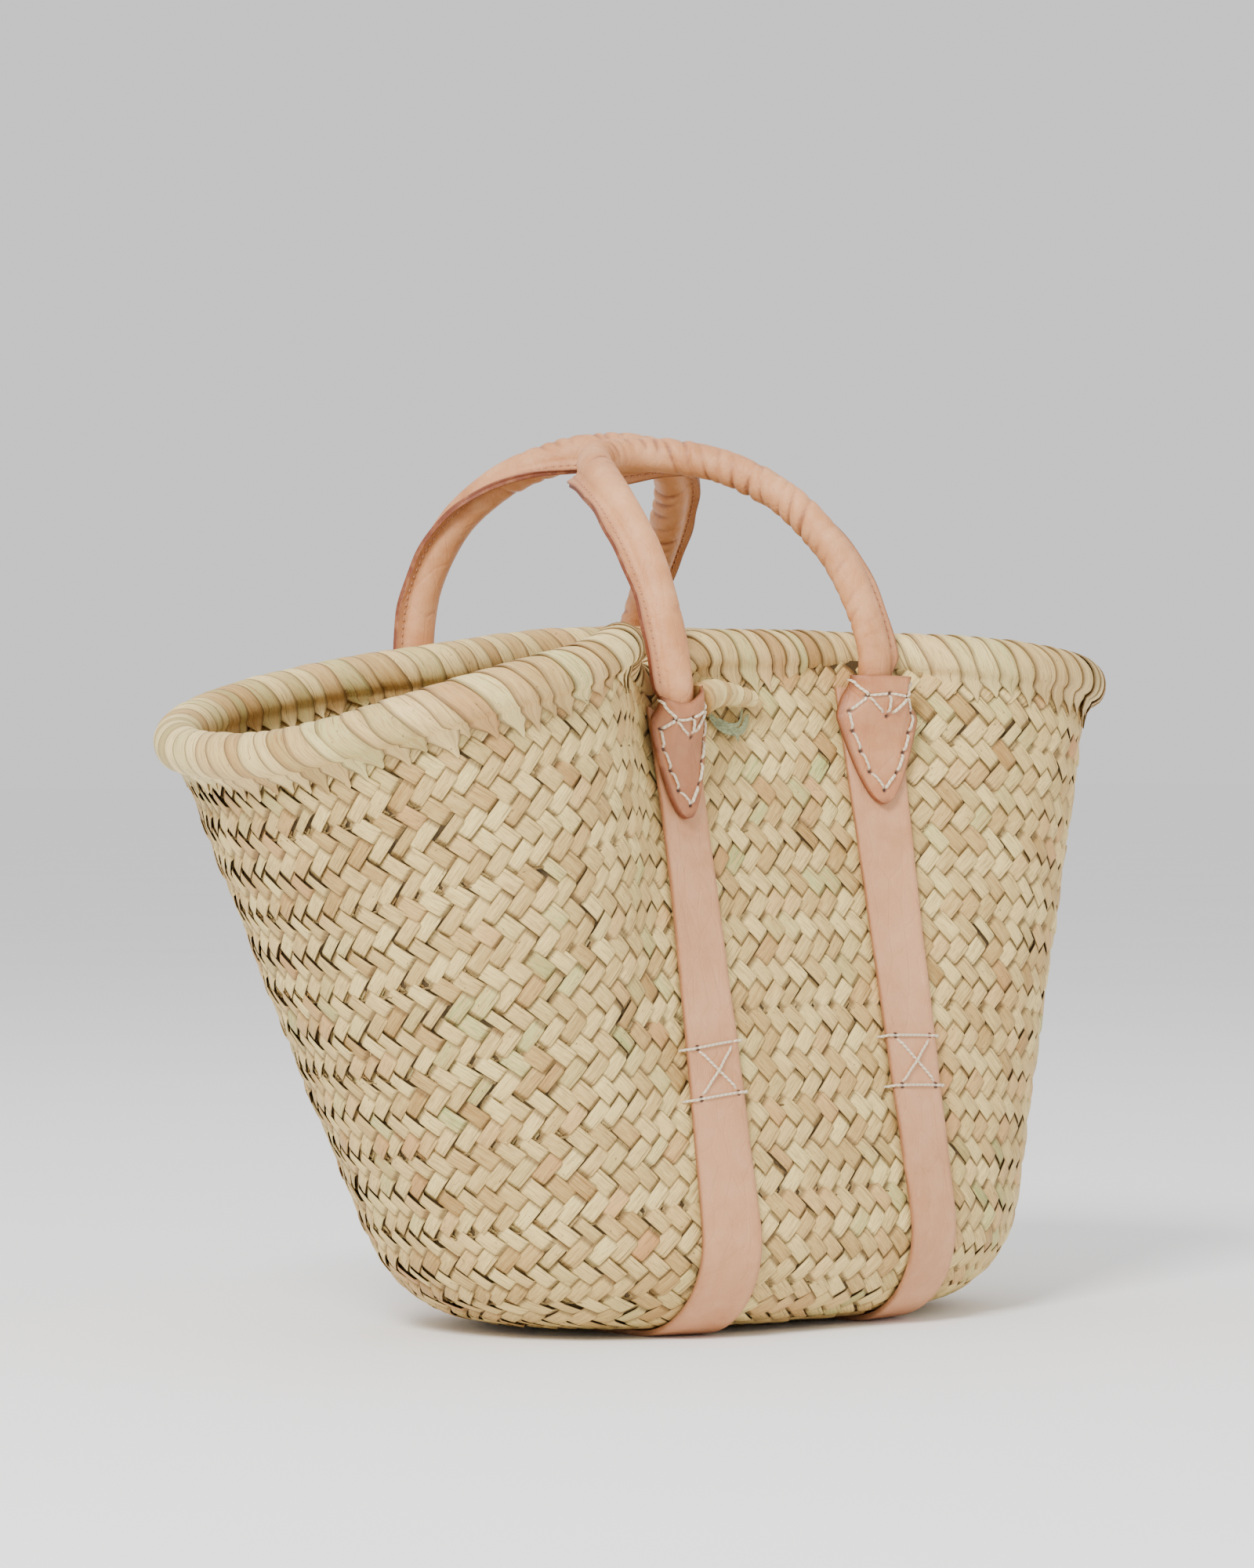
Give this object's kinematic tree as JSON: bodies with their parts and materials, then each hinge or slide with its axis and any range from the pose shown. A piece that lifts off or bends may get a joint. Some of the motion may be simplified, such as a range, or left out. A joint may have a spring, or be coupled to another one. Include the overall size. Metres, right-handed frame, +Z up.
{
  "type": "woven market basket",
  "caption": "Oval plaited palm-leaf market basket with a wrapped rim, leather straps under the base, stitched tabs and swinging rolled leather handles.",
  "frame": {"origin": "centre of the bounding box's bottom, on the surface the basket stands on", "axes": "+X along the basket's length, towards its steeper end; -Y towards the front, the creased side; +Z up"},
  "size_m": [0.4809, 0.2561, 0.4027],
  "materials": {
    "palm_leaf": "matte plaited palm leaf with satin ribs",
    "rim_leaf": "satin wrapped palm leaf",
    "green_leaf": "satin dried green leaf",
    "palm_cord": "matte twisted palm fibre",
    "strap_leather": "matte undyed leather",
    "tab_leather": "matte tan leather",
    "handle_leather": "satin creased leather",
    "waxed_thread": "waxed cotton thread",
    "sewing_thread": "machine sewing thread"
  },
  "bodies": {
    "basket": {"base_mat": "palm_leaf", "wall_course_1": "palm_leaf", "wall_course_2": "palm_leaf", "wall_course_3": "palm_leaf", "wall_course_4": "palm_leaf", "wall_course_5": "palm_leaf", "wall_course_6": "palm_leaf", "wall_course_7": "palm_leaf", "wall_course_8": "palm_leaf", "seam_cords": "palm_cord", "rim_core": "palm_cord", "rim_wrap": "rim_leaf", "rim_tail": "rim_leaf", "rim_tie": "green_leaf", "strap_left": "strap_leather", "strap_right": "strap_leather", "front_left_handle_end": "handle_leather", "front_right_handle_end": "handle_leather", "back_left_handle_end": "handle_leather", "back_right_handle_end": "handle_leather", "front_left_tab": "tab_leather", "front_right_tab": "tab_leather", "back_left_tab": "tab_leather", "back_right_tab": "tab_leather", "front_left_tab_stitches": "waxed_thread", "front_right_tab_stitches": "waxed_thread", "back_left_tab_stitches": "waxed_thread", "back_right_tab_stitches": "waxed_thread", "front_left_cross_stitches": "waxed_thread", "front_right_cross_stitches": "waxed_thread", "back_left_cross_stitches": "waxed_thread", "back_right_cross_stitches": "waxed_thread"},
    "front_handle": {"front_handle_core": "palm_cord", "front_handle_sleeve": "handle_leather", "front_handle_thread": "sewing_thread"},
    "back_handle": {"back_handle_core": "palm_cord", "back_handle_sleeve": "handle_leather", "back_handle_thread": "sewing_thread"}
  },
  "joints": [
    {"name": "front_handle_swing", "type": "hinge", "parent": "basket", "child": "front_handle", "pos_m": [0.01507, -0.07852, 0.291], "axis": [0.9918, 0.0565, 0.1147], "range_deg": [0, 90]},
    {"name": "back_handle_swing", "type": "hinge", "parent": "basket", "child": "back_handle", "pos_m": [0.02657, 0.11823, 0.297], "axis": [-0.9986, 0.0196, -0.0495], "range_deg": [0, 90]}
  ]
}
